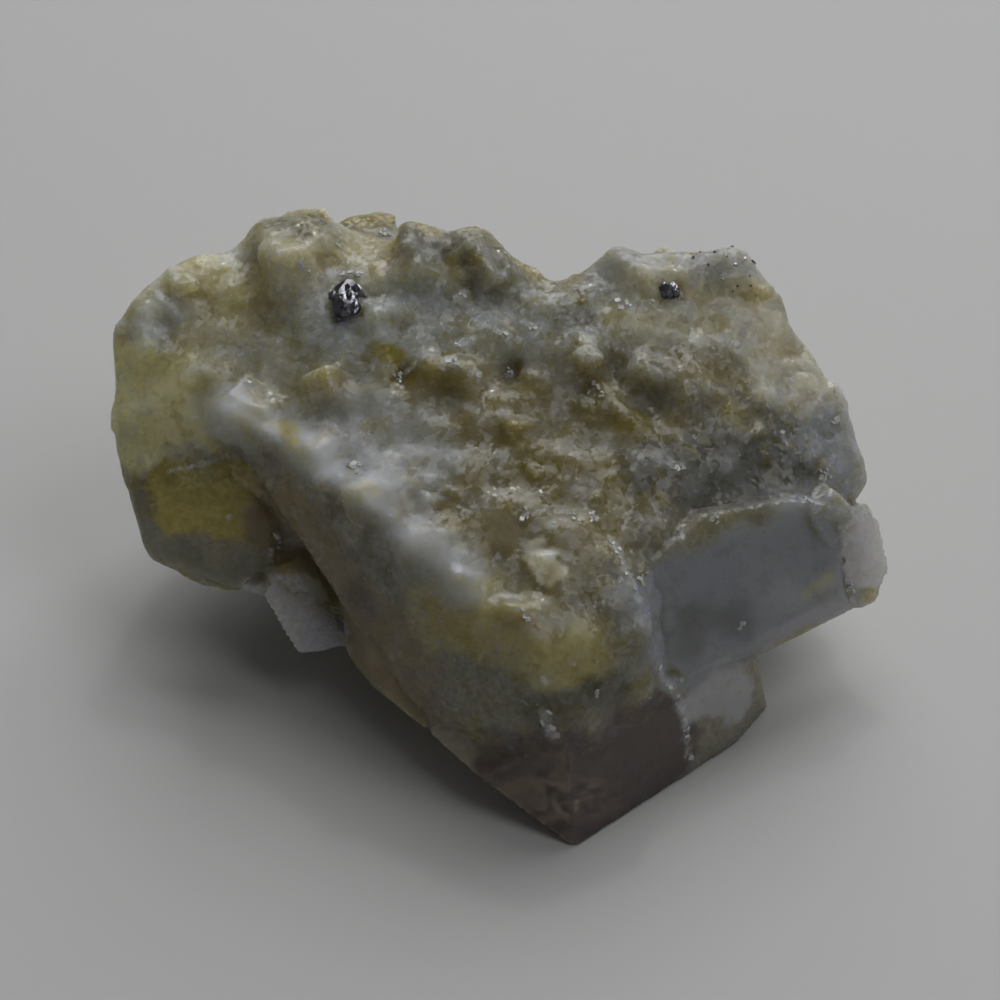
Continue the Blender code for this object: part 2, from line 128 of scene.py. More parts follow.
# Zones of the fluorite, laid one over another: name, points along its middle line, radius, soft edge, colour,
# clarity (0 cloudy, 1 clear), powder (0 clean, 1 white and matt) and relief (0 smooth, 1 rough).
ZONES = (
    ("top_left", ((-24, 11, 21), (-12, 12, 22)), 8.0, 5.0, STRAW, 0.25, 0.15, 0.6),
    ("left_grey_rim", ((-26, 9.5, 21), (-22, 14, 21), (-18, 16, 22)), 1.6, 2.0, MIST, 0.15, 0.4, 0.5),
    ("left_yellow_patch", ((-18.5, 12.2, 22.5),), 2.0, 3.0, OLIVE, 0.3, 0.0, 0.4),
    ("left_olive_patch", ((-22.5, 8.4, 20), (-25, 7.6, 19.5)), 1.4, 2.0, PALE_OLIVE, 0.3, 0.1, 0.5),
    ("far_left_lobe", ((-14.0, 16.5, 24.5),), 3.0, 2.0, KHAKI, 0.2, 0.15, 0.6),
    ("pale_knob", ((-9.0, 19.8, 22.3),), 2.3, 0.9, KHAKI, 0.15, 0.2, 0.4),
    ("back_peaks", ((-5.2, 14.5, 25), (-1.0, 14, 25)), 2.6, 2.0, DULL_GREY, 0.25, 0.15, 0.8),
    ("yellow_saddle", ((-3.6, 12.2, 24), (-2.6, 10.6, 23.8)), 1.2, 1.2, OLIVE, 0.4, 0.0, 0.5),
    ("middle_grey", ((-11, 9, 21.5), (-3, 8, 22), (5, 9, 23)), 3.2, 3.4, MIST, 0.25, 0.3, 0.7),
    ("galena_halo", ((-10.9, 10.2, 21.3),), 1.5, 0.9, LEAD_GREY, 0.1, 0.0, 0.6),
    ("grain_slope", ((5.6, 9.6, 23.2),), 1.7, 1.2, DULL_GREY, 0.15, 0.1, 1.0),
    ("right_lobe_top", ((9.5, 14, 24.5), (17, 14, 24)), 3.8, 2.6, HAZE, 0.15, 0.15, 0.45),
    ("right_lobe_slope", ((10.5, 9.5, 22.8), (15.5, 9.0, 22)), 2.8, 2.6, STRAW, 0.22, 0.1, 0.5),
    ("right_lobe_side", ((18.5, 9.5, 21.5), (19.5, 7, 20), (22.5, 6, 17.5)), 2.4, 2.2, CREAM,
     0.15, 0.15, 0.4),
    ("right_lobe_foot", ((11, 6.6, 21.2), (17, 5.6, 20.4)), 1.3, 1.3, OLIVE_BROWN, 0.3, 0.0, 0.4),
    ("front_slope", ((-6, 1, 19), (4, 0, 19), (2, -7, 17)), 6.0, 4.0, OLIVE_BROWN, 0.3, 0.25, 0.5),
    ("misted_slope", ((-10, 2.6, 19.2), (-5, -1.5, 18.2)), 2.4, 2.6, DULL_GREY, 0.2, 0.45, 0.35),
    ("step_pocket_left", ((-8.6, 6.9, 20.6), (-7.5, 6.7, 20.7)), 0.9, 0.5, POCKET_YELLOW,
     0.45, 0.0, 0.1),
    ("step_pocket_middle", ((-5.8, 4.8, 20.4), (-4.9, 5.0, 20.6)), 0.5, 0.4, POCKET_YELLOW, 0.45, 0.0, 0.1),
    ("step_pocket_right", ((5.6, 6.1, 22.0),), 0.8, 0.5, DEEP_OLIVE, 0.45, 0.0, 0.1),
    # painted shade: the hollow is coloured dark deep olive, where shade falls
    ("painted_shade_hollow", ((7.6, 2.0, 19.7), (9.8, 2.4, 19.4)), 1.3, 1.0, DEEP_OLIVE, 0.45, 0.0, 0.4),
    ("brown_hollow", ((5.4, 2.0, 19.8),), 0.9, 1.0, DEEP_OLIVE, 0.4, 0.0, 0.4),
    ("slope_hollow", ((1.0, -1.8, 18.4), (3.4, -1.9, 18.0)), 0.8, 0.9, DEEP_OLIVE, 0.4, 0.0, 0.4),
    ("right_hollow", ((16.2, 2.6, 18.8), (18.4, 2.0, 17.4)), 0.9, 1.0, HONEY, 0.4, 0.0, 0.5),
    ("right_grey", ((11.5, -1.5, 17.6), (16, -0.8, 16.4), (20, 1.2, 16.0)), 2.8, 2.6, SMOKE,
     0.35, 0.05, 0.5),
    ("right_flank", ((24, 5, 15.5), (25, 3, 13.2), (22.5, 3.5, 15.6)), 2.4, 2.2, BLUE_GREY, 0.25, 0.15, 0.6),
    ("olive_band", ((16.8, -1.0, 15.8), (20.2, 0.9, 15.2)), 0.8, 1.0, SMOKE, 0.4, 0.0, 0.4),
    ("left_facet", ((-26, 7, 17), (-22.5, 5.0, 17)), 3.2, 1.8, PALE_OLIVE, 0.25, 0.0, 0.2),
    ("left_facet_foot", ((-25.4, 3.8, 14.6), (-24.0, 3.2, 14.4)), 1.0, 1.0, PALE_OLIVE, 0.25, 0.1, 0.5),
    ("window", ((-22, 1.6, 12.6), (-18.2, 1.0, 12.2)), 3.0, 0.6, YELLOW_GLASS, 0.45, 0.0, 0.8),
    ("window_frame", ((-23.4, 3.2, 15.4), (-18.6, 2.8, 15.4)), 0.6, 0.5, STRAW, 0.3, 0.1, 0.8),
    ("left_rim", ((-26.3, 3, 12.5), (-24.5, -0.6, 9.2), (-20, -2.2, 7.2), (-16.5, -1.9, 7.4)), 1.8, 1.2, DULL_GREY,
     0.3, 0.15, 0.35),
    ("wall", ((-14.5, -1, 12.5), (-11, -6, 9.5), (-6, -11, 8)), 3.4, 1.4, BROWN,
     0.35, 0.05, 0.35),
    ("wall_foot", ((-10.2, -6.0, 4.8), (-6, -11, 4.5)), 2.4, 1.4, BROWN, 0.35, 0.05, 0.25),
    ("wall_mist", ((-9.6, -7, 11.4), (-9.0, -7.8, 9.4)), 1.1, 1.4, BROWN_VIOLET, 0.4, 0.2, 0.5),
    ("plate", ((-15.4, -3.2, 6.8), (-12.4, -5.2, 5.2)), 2.4, 0.5, PALE_GREY, 0.25, 0.2, 0.8),
    ("front_yellow", ((-4.2, -10.6, 13.6), (2.5, -13.6, 13.6), (5, -14.8, 12.4)), 2.8, 2.2, OLIVE,
     0.3, 0.05, 0.3),
    ("front_mist", ((1.5, -12.6, 15.4), (3.4, -13.4, 14.6)), 1.5, 1.6, OLIVE_BROWN, 0.15, 0.25, 0.25),
    ("front_deep_yellow", ((-4.8, -10.8, 13.2), (-2.4, -13.4, 12.0)), 0.9, 1.6, YELLOW_GLASS,
     0.45, 0.0, 0.3),
    ("front_right_grey", ((8.6, -9.8, 14.2), (9.8, -11, 11.2)), 1.9, 1.4, DULL_GREY, 0.25, 0.35, 0.5),
    ("front_brown", ((2.7, -16.2, 9.4), (8, -14.6, 9.4)), 1.2, 1.2, KHAKI, 0.4, 0.1, 0.5),
    ("corner_cube", ((5, -18, 3), (3, -16, 3), (9, -14, 3)), 5.0, 1.2, BROWN_VIOLET, 0.55, 0.0, 0.2),
    ("light_face", ((13.8, -11.6, 5), (15.8, -9.8, 5.4), (16.4, -9.4, 3.6)), 1.9, 0.9, LIGHT_GREY,
     0.3, 0.2, 0.2),
    ("slab", ((12.5, -8.8, 10.6), (18, -6, 11), (22, -3.0, 11)), 4.6, 1.8, BLUE_GREY,
     0.45, 0.05, 0.15),
    ("slab_shade", ((12.6, -8.6, 9.4), (15.4, -7.4, 9.6)), 1.6, 2.4, HAZE, 0.45, 0.0, 0.1),
    ("slab_bevel", ((16.5, -7.9, 7.6), (24.2, -3.6, 7.2)), 0.7, 0.4, VIOLET_GREY, 0.45, 0.0, 0.1),
    ("slab_yellow_band", ((20.0, -5.3, 9.2), (23.0, -4.0, 9.2)), 0.45, 0.5, CREAM,
     0.4, 0.0, 0.1),
    ("flake", ((25.8, -0.6, 9.4),), 3.1, 0.5, PALE_GREY, 0.35, 0.35, 0.5),
    ("flake_crack", ((24.0, -2.0, 10.6), (24.0, -2.8, 9.2), (24.6, -3.6, 7.4)), 0.16, 0.16, BROWN_VIOLET,
     0.3, 0.0, 0.3),
    ("ridge", ((-19.2, 4.0, 18.4), (-16, 2.2, 19), (-12.6, -0.6, 18.6), (-9, -3.8, 18.4), (-5.6, -7.2, 17),
               (-2.4, -10.6, 15.6)), 1.8, 3.0, HAZE, 0.0, 0.62, 0.0),
    ("ridge_spread", ((-10.5, -1.0, 18.6), (-7.2, -3.2, 18)), 1.8, 2.6, HAZE, 0.05, 0.4, 0.25),
    ("ridge_cream", ((-14.8, 1.6, 18.9),), 1.1, 1.0, HONEY, 0.0, 0.35, 0.0),
    ("six_sided_end", ((3.0, -9.1, 16.3),), 1.45, 0.3, CREAM, 0.05, 0.3, 0.0),
)

# The white bruises and slivers that stand out, laid on the skin, and two painted highlights, the glints: name, middle
# line, radius and strength.
MARKS = (
    ("over_galena", ((-12, 12.5, 23.5), (-9.5, 12.5, 23.5)), 0.35, 0.9),
    # painted highlight: a glint painted white into the colour
    ("back_painted_glint", ((-3, 10, 23.5), (-2.5, 10.5, 23.5)), 0.35, 1.0),
    ("back_slivers", ((-1, 8.5, 22.5), (0.5, 7.5, 22)), 0.3, 0.9),
    ("step_sliver", ((-3, 7, 22), (-2, 7.5, 22)), 0.2, 0.9),
    ("step_edge", ((-6.5, 5.5, 20.5), (-5, 6, 21)), 0.15, 0.9),
    ("middle_patch", ((-3.5, 5.5, 21.5), (-1.5, 4.5, 21)), 0.4, 0.8),
    ("grain_patch", ((8, 10.5, 23), (9, 9.5, 23)), 0.4, 0.6),
    ("right_lobe_patch", ((15.5, 8, 21.5), (16.5, 7.5, 21)), 0.4, 0.8),
    ("flank_sliver", ((19.5, 3, 17), (20, 2.5, 16.5)), 0.25, 0.7),
    ("left_edge", ((-24, 9.5, 21), (-23, 8.5, 20.5)), 0.3, 0.7),
    ("top_left_streak", ((-17, 15.5, 24), (-16.5, 13.5, 24)), 0.3, 0.6),
    # painted highlight: a glint painted white into the colour
    ("front_painted_glint", ((3.5, -6.5, 17.5),), 0.3, 1.0),
    ("window_edge", ((-23, 2.5, 14), (-20, 3, 14.5)), 0.15, 0.9),
    ("window_side", ((-16, -0.5, 9.5), (-16, -1, 9)), 0.15, 1.0),
    ("window_spot", ((-19, 0.5, 11.5),), 0.25, 0.7),
    ("front_spot", ((3, -16, 11.5),), 0.35, 0.8),
    ("front_foot", ((3, -16.5, 9), (3.5, -17, 7.5)), 0.4, 0.7),
    ("white_crack", ((11, -12, 9), (12.5, -12.5, 6), (13, -13, 1.5)), 0.35, 0.5),
    ("pale_layer", ((21, -1, 14.5), (24.5, 0.5, 12.5)), 0.35, 0.45),
    ("slab_corner", ((12.5, -6, 15.5),), 0.3, 0.7),
    ("frost", ((7.5, -7, 16), (9.5, -10.5, 14)), 0.3, 0.6),
)
MARK_EDGE = 0.25

# Small flakes of cleaved fluorite: marks up to this radius are strewn with them, and many more lie on rough faces.
SLIVER_REACH = 0.42
SPARKS = 420
CLUSTERS = 34             # bruises of several flakes, on the rough faces that look up at least this much
CLUSTER_SLOPE = 0.45
CLUSTER_FLAKES = 7
CLUSTER_RADIUS = (0.2, 0.6)
SPARK_SIZE = (0.08, 0.26)
MARK_COLOUR = (0.72, 0.74, 0.76)
GROUND_CLARITY = 0.25
GROUND_RELIEF = 0.9


# ---------------------------------------------------------------- meshes

def modelling_offset():
    """From the part's modelling coordinates to the row frame, in millimetres, from where the front corner is."""
    points = [v.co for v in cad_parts["fluorite"].data.vertices]
    low = [p for p in points if p.z < 0.01 * MM]
    return min(low, key=lambda p: p.y) / MM - FRONT_CORNER


OFFSET = modelling_offset()
TO_ROW = Matrix.Scale(MM, 4) @ Matrix.Translation(OFFSET)


def node_mesh(node):
    """A CAD node's mesh as a bmesh, in millimetres and modelling coordinates, with its doubled points joined."""
    bm = bmesh.new()
    bm.from_mesh(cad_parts[node].data)
    bm.transform(TO_ROW.inverted())
    bmesh.ops.remove_doubles(bm, verts=bm.verts, dist=0.001)
    return bm


def mesh_object(name, bm):
    mesh = bpy.data.meshes.new(name)
    bm.to_mesh(mesh)
    bm.free()
    obj = bpy.data.objects.new(name, mesh)
    bpy.context.scene.collection.objects.link(obj)
    return obj


def add_mesh(whole, bm):
    """Puts a bmesh into another and frees it."""
    piece = bpy.data.meshes.new("piece")
    bm.to_mesh(piece)
    bm.free()
    whole.from_mesh(piece)
    bpy.data.meshes.remove(piece)


def hull(points):
    """The convex hull of these points."""
    bm = bmesh.new()
    for point in points:
        bm.verts.new(point)
    made = bmesh.ops.convex_hull(bm, input=bm.verts)
    inside = [g for g in made["geom_interior"] if isinstance(g, bmesh.types.BMVert)]
    bmesh.ops.delete(bm, geom=inside, context="VERTS")
    return bm


def crystal_corners(centre, size, rotation, rng, least_cut, most_cut):
    """A cube's corners, each cut off by a random share of the half edge."""
    corners = []
    for sx in (-1, 1):
        for sy in (-1, 1):
            for sz in (-1, 1):
                cut = rng.uniform(least_cut, most_cut)
                for kept in range(3):
                    corner = [sx, sy, sz]
                    corner[kept] *= 1 - cut
                    corners.append(rotation @ Vector([c * s / 2 for c, s in zip(corner, size)]) + centre)
    return corners


def apply_modifiers(obj):
    bpy.context.view_layer.update()
    graph = bpy.context.evaluated_depsgraph_get()
    mesh = bpy.data.meshes.new_from_object(obj.evaluated_get(graph))
    obj.modifiers.clear()
    obj.data = mesh


def points_of(mesh):
    points = np.empty(len(mesh.vertices) * 3)
    mesh.vertices.foreach_get("co", points)
    return points.reshape(-1, 3)


def normals_of(mesh):
    normals = np.empty(len(mesh.vertices) * 3)
    mesh.vertex_normals.foreach_get("vector", normals)
    return normals.reshape(-1, 3)


def set_points(mesh, points):
    mesh.vertices.foreach_set("co", points.ravel())
    mesh.update()


def spots_on(bm, rng, count):
    """Random points on the mesh with their normals, spread evenly over its area."""
    areas = np.cumsum([face.calc_area() for face in bm.faces])
    bm.faces.ensure_lookup_table()
    spots = []
    for _ in range(count):
        face = bm.faces[int(np.searchsorted(areas, rng.uniform(0, areas[-1])))]
        a, b, c = [loop.vert.co for loop in face.loops][:3]
        u, v = sorted((rng.random(), rng.random()))
        spots.append((a * u + b * (v - u) + c * (1 - v), face.normal.copy(), face))
    return spots


def clean_faces(bm):
    """A search tree of the clean cleavage faces: coplanar CAD triangles joined, and the large ones kept."""
    flat = bm.copy()
    bmesh.ops.dissolve_limit(flat, angle_limit=math.radians(0.6), verts=flat.verts, edges=flat.edges)
    small = [face for face in flat.faces if face.calc_area() < CLEAN_FACE_AREA]
    bmesh.ops.delete(flat, geom=small, context="FACES_ONLY")
    tree = BVHTree.FromBMesh(flat)
    flat.free()
    return tree


def near(tree, points, reach):
    """For each point, its nearest place on the tree within reach, and how near it is: 1 on it, 0 at the reach."""
    nearest = points.copy()
    share = np.zeros(len(points))
    for i, point in enumerate(points):
        place, _, _, distance = tree.find_nearest(point, reach)
        if place is not None:
            nearest[i] = place
            share[i] = 1 - distance / reach
    return nearest, share


def facets(points, cell, rng):
    """How far each point stands out, from -1 to 1: space is split into irregular cells, each a tilted flat step."""
    low = points.min(0) - cell
    counts = np.ceil((points.max(0) + cell - low) / cell).astype(int)
    grid = np.stack(np.meshgrid(*[np.arange(n) for n in counts], indexing="ij"), -1).reshape(-1, 3)
    centres = low + (grid + rng.uniform(0.1, 0.9, grid.shape)) * cell
    tilts = rng.normal(size=grid.shape) * 0.9
    lifts = rng.uniform(-0.6, 0.6, len(grid))
    tree = kdtree.KDTree(len(centres))
    for i, centre in enumerate(centres):
        tree.insert(centre, i)
    tree.balance()
    nearest = np.array([tree.find(p)[1] for p in points])
    away = (points - centres[nearest]) / cell
    return np.clip(lifts[nearest] + (tilts[nearest] * away).sum(1), -1, 1)


def grow_crystals(body, clean, rng):
    """Small cubes with broken corners, sunk into the rough skin and turned nearly as the lattice is."""
    crystals = []
    for count, small, large, sunk in GROWTHS:
        for spot, normal, _ in spots_on(body, rng, count):
            if normal.z < -0.3 or clean.find_nearest(spot, 0.7)[0] is not None:
                continue
            if rng.random() > zone_values(np.array([spot]))["relief"][0]:
                continue
            size = rng.uniform(small, large)
            turn = Euler([a + math.radians(rng.gauss(0, 16)) for a in LATTICE]).to_matrix()
            stretch = [size * rng.uniform(0.75, 1.3) for _ in range(3)]
            centre = spot - normal * size * sunk * rng.uniform(0.8, 1.3)
            crystals.append(hull(crystal_corners(centre, stretch, turn, rng, 0.1, 0.6)))
    return crystals


def pocket_fill(node):
    """A lump of fluorite that closes the gap round a galena crystal, up to just under its top."""
    low, high = [TO_ROW.inverted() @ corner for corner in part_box(node)]
    reach = (high - low).length / 2
    bm = bmesh.new()
    bmesh.ops.create_icosphere(bm, subdivisions=3, radius=reach * 0.86)
    bm.transform(Matrix.Translation((low + high) / 2 - Vector((0, -0.3, 1)).normalized() * reach * 0.52))
    return bm


def smooth_points(mesh, hold, rounds):
    """Smooths a mesh except where hold is 1, first inwards and then out again so that it keeps its size."""
    points = points_of(mesh)
    for _ in range(rounds):
        for push in (0.5, -0.5):
            points = points + (smoothed(mesh, points, 1) - points) * push * (1 - hold)
    set_points(mesh, points)


def fuse(obj, voxel):
    remesh = obj.modifiers.new("fuse", "REMESH")
    remesh.mode = "VOXEL"
    remesh.voxel_size = voxel
    apply_modifiers(obj)


def flatten(mesh, clean):
    """Lays the points near a clean face on it, and gives each point's share of a clean face."""
    points = points_of(mesh)
    flat_points, flatness = near(clean, points, 0.35)
    flatness = np.clip(flatness * 1.8, 0, 1)[:, None]
    set_points(mesh, points * (1 - flatness) + flat_points * flatness)
    return flatness


def fine_skin():
    """The fluorite's fine mesh."""
    rng = random.Random(SEED)
    noise_rng = np.random.default_rng(SEED)
    cad = node_mesh("fluorite")
    clean = clean_faces(cad)
    skin = mesh_object("fluorite_skin", cad)
    fuse(skin, BODY_VOXEL)
    flatness = flatten(skin.data, clean)
    smooth_points(skin.data, flatness, SOFTENING)
    relief = zone_values(points_of(skin.data))["relief"][:, None]
    smooth_points(skin.data, np.maximum(flatness, relief), CALMING)
    body = bmesh.new()
    body.from_mesh(skin.data)
    bmesh.ops.triangulate(body, faces=body.faces)
    for part in grow_crystals(body, clean, rng):
        add_mesh(body, part)
    for node in ("galena_crystal_large", "galena_crystal_small"):
        add_mesh(body, pocket_fill(node))
    body.to_mesh(skin.data)
    body.free()
    fuse(skin, SKIN_VOXEL)
    flatness = flatten(skin.data, clean)
    smooth_points(skin.data, flatness, 1)
    relief = zone_values(points_of(skin.data))["relief"]
    for cell, rough_height, clean_height in FACETS:
        points, normals = points_of(skin.data), normals_of(skin.data)
        rough_height = rough_height * relief
        height = rough_height + (clean_height - rough_height) * flatness[:, 0]
        set_points(skin.data, points + normals * (height * facets(points, cell, noise_rng))[:, None])
    skin.data.calc_loop_triangles()
    decimate = skin.modifiers.new("thin", "DECIMATE")
    decimate.ratio = min(1.0, SKIN_TRIANGLES / len(skin.data.loop_triangles))
    apply_modifiers(skin)
    keep_in_box(skin)
    colour_zones(skin, clean)
    return skin


def keep_in_box(obj):
    """Holds the skin inside the CAD box."""
    low, high = [np.array(TO_ROW.inverted() @ corner) for corner in cad_box]
    set_points(obj.data, np.clip(points_of(obj.data), low, high))


# ---------------------------------------------------------------- colour zones

def distance_to_line(points, line):
    """Each point's distance to a line through these places."""
    line = np.array(line, float)
    if len(line) == 1:
        return np.linalg.norm(points - line[0], axis=1)
    best = np.full(len(points), 1e9)
    for start, end in zip(line[:-1], line[1:]):
        along = end - start
        t = np.clip((points - start) @ along / (along @ along), 0, 1)
        best = np.minimum(best, np.linalg.norm(points - start - t[:, None] * along, axis=1))
    return best


def wander(points, scale, size):
    """A smooth random shift of each point."""
    return np.array([noise.noise_vector(Vector(p) / scale) for p in points]) * size


def smoothed(mesh, values, rounds):
    """Values averaged with their neighbours' along the edges, several times over."""
    edges = np.empty(len(mesh.edges) * 2, int)
    mesh.edges.foreach_get("vertices", edges)
    a, b = edges.reshape(-1, 2).T
    count = np.bincount(np.concatenate((a, b)), minlength=len(values))
    for _ in range(rounds):
        sums = [np.bincount(a, column[b], len(values)) + np.bincount(b, column[a], len(values)) for column in values.T]
        values = (values + np.array(sums).T) / (1 + count)[:, None]
    return values


def store(mesh, name, values):
    attribute = mesh.attributes.new(name, "FLOAT", "POINT")
    attribute.data.foreach_set("value", values.astype(np.float32))


def on_skin(tree, line):
    """The places on the skin nearest to the points of a line."""
    return [tree.find_nearest(Vector(point))[0] for point in line]


def mark_values(points, tree):
    """How strongly each point is bruised white, or painted white as a glint."""
    jagged = points + wander(points, 0.5, 0.22)
    mark = np.zeros(len(points))
    for _, line, radius, strength in MARKS:
        away = distance_to_line(jagged, on_skin(tree, line))
        share = np.clip((radius + MARK_EDGE / 2 - away) / MARK_EDGE, 0, 1)
        mark = np.maximum(mark, share * strength)
    return mark


def zone_values(points):
    """Each point's colour, clarity, powder and relief from the zones."""
    moved = points + wander(points, 3.0, 1.3) + wander(points, 0.9, 0.45)
    values = {
        "colour": np.tile(GROUND_COLOUR, (len(points), 1)),
        "clarity": np.full(len(points), GROUND_CLARITY),
        "powder": np.zeros(len(points)),
        "relief": np.full(len(points), GROUND_RELIEF),
    }
    for _, line, radius, edge, colour, clarity, powder, relief in ZONES:
        share = np.clip((radius + edge / 2 - distance_to_line(moved, line)) / edge, 0, 1)
        share = share * share * (3 - 2 * share)
        values["colour"] += (np.array(colour) - values["colour"]) * share[:, None]
        for name, value in (("clarity", clarity), ("powder", powder), ("relief", relief)):
            values[name] += (value - values[name]) * share
    return values


def colour_zones(obj, clean):
    """Writes the zones' values on the mesh, and how hollow and how clean each point is."""
    mesh = obj.data
    points = points_of(mesh)
    values = zone_values(points)
    tint = mesh.color_attributes.new("tint", "FLOAT_COLOR", "POINT")
    colours = np.column_stack((values["colour"], np.ones(len(points))))
    tint.data.foreach_set("color", colours.astype(np.float32).ravel())
    # how hollow each point is, which the material uses to paint shade into the hollows
    hollow = ((smoothed(mesh, points, 12) - points) * normals_of(mesh)).sum(1)
    store(mesh, "clarity", values["clarity"])
    store(mesh, "powder", values["powder"])
    store(mesh, "mark", mark_values(points, BVHTree.FromObject(obj, bpy.context.evaluated_depsgraph_get())))
    store(mesh, "relief", values["relief"])
    store(mesh, "hollow", np.clip(hollow / 0.12, -1, 1))
    store(mesh, "clean", np.clip(near(clean, points, 0.3)[1] * 1.6, 0, 1))


# ---------------------------------------------------------------- materials

class Nodes:
    """A material's node tree, with short calls for the nodes used here."""

    def __init__(self, name):
        self.material = bpy.data.materials.new(name)
        self.material.use_nodes = True
        self.tree = self.material.node_tree
        self.shader = self.tree.nodes["Principled BSDF"]
        self.output = self.tree.nodes["Material Output"]

    def add(self, kind, **settings):
        node = self.tree.nodes.new(kind)
        for key, value in settings.items():
            setattr(node, key, value)
        return node

    def link(self, source, target):
        self.tree.links.new(source, target)

    def put(self, target, value):
        """Links a socket, or sets a number or a colour."""
        if isinstance(value, bpy.types.NodeSocket):
            self.link(value, target)
        else:
            target.default_value = value

    def position(self):
        return self.add("ShaderNodeTexCoord").outputs["Object"]

    def attribute(self, name, output="Fac"):
        return self.add("ShaderNodeAttribute", attribute_name=name).outputs[output]

    def noise(self, scale, detail=4.0, roughness=0.55, distortion=0.0):
        node = self.add("ShaderNodeTexNoise")
        self.link(self.position(), node.inputs["Vector"])
        node.inputs["Scale"].default_value = scale / MM
        node.inputs["Detail"].default_value = detail
        node.inputs["Roughness"].default_value = roughness
        node.inputs["Distortion"].default_value = distortion
        return node.outputs["Fac"]

    def cells(self, scale, output="Distance", feature="F1"):
        """Irregular cells: the distance to a cell's middle or edge, or a colour of its own for each cell."""
        node = self.add("ShaderNodeTexVoronoi", feature=feature)
        self.link(self.position(), node.inputs["Vector"])
        node.inputs["Scale"].default_value = scale / MM
        return node.outputs[output]

    def channel(self, colour, index):
        node = self.add("ShaderNodeSeparateColor")
        self.link(colour, node.inputs["Color"])
        return node.outputs[index]

    def math(self, operation, a, b=0.0, clamp=False):
        node = self.add("ShaderNodeMath", operation=operation, use_clamp=clamp)
        self.put(node.inputs[0], a)
        self.put(node.inputs[1], b)
        return node.outputs[0]

    def ramp(self, value, low, high, out_low=0.0, out_high=1.0):
        """A value stretched from one range to another and held inside it."""
        node = self.add("ShaderNodeMapRange", interpolation_type="SMOOTHSTEP")
        self.put(node.inputs["Value"], value)
        for name, number in (("From Min", low), ("From Max", high), ("To Min", out_low), ("To Max", out_high)):
            self.put(node.inputs[name], number)
        return node.outputs["Result"]

    def mix(self, share, a, b, blend="MIX"):
        node = self.add("ShaderNodeMix", data_type="RGBA", blend_type=blend)
        self.put(node.inputs["Factor"], share)
        for socket, value in ((node.inputs[6], a), (node.inputs[7], b)):
            self.put(socket, value if isinstance(value, bpy.types.NodeSocket) else (*value, 1.0))
        return node.outputs[2]

    def streaks(self, along, across):
        """Noise drawn out along one direction of the lattice."""
        mapping = self.add("ShaderNodeMapping")
        self.link(self.position(), mapping.inputs["Vector"])
        mapping.inputs["Rotation"].default_value = LATTICE
        mapping.inputs["Scale"].default_value = (along / MM, across / MM, across / MM)
        node = self.add("ShaderNodeTexNoise")
        self.link(mapping.outputs[0], node.inputs["Vector"])
        node.inputs["Scale"].default_value = 1.0
        node.inputs["Detail"].default_value = 2.0
        return node.outputs["Fac"]

    def facets(self, cells):
        """The surface normal turned at random, cell by cell, as on sugary crystal: (colour of each cell, tilt)."""
        total = self.add("ShaderNodeNewGeometry").outputs["Normal"]
        for colour, tilt in cells:
            centred = self.add("ShaderNodeVectorMath", operation="SUBTRACT")
            self.link(colour, centred.inputs[0])
            centred.inputs[1].default_value = (0.5, 0.5, 0.5)
            scaled = self.add("ShaderNodeVectorMath", operation="SCALE")
            self.link(centred.outputs[0], scaled.inputs[0])
            self.put(scaled.inputs["Scale"], tilt)
            added = self.add("ShaderNodeVectorMath", operation="ADD")
            self.link(total, added.inputs[0])
            self.link(scaled.outputs[0], added.inputs[1])
            total = added.outputs[0]
        unit = self.add("ShaderNodeVectorMath", operation="NORMALIZE")
        self.link(total, unit.inputs[0])
        return unit.outputs[0]

    def bump(self, height, strength, distance, normal=None):
        node = self.add("ShaderNodeBump")
        self.put(node.inputs["Height"], height)
        node.inputs["Strength"].default_value = strength
        node.inputs["Distance"].default_value = distance * MM
        if normal is not None:
            self.link(normal, node.inputs["Normal"])
        return node.outputs["Normal"]


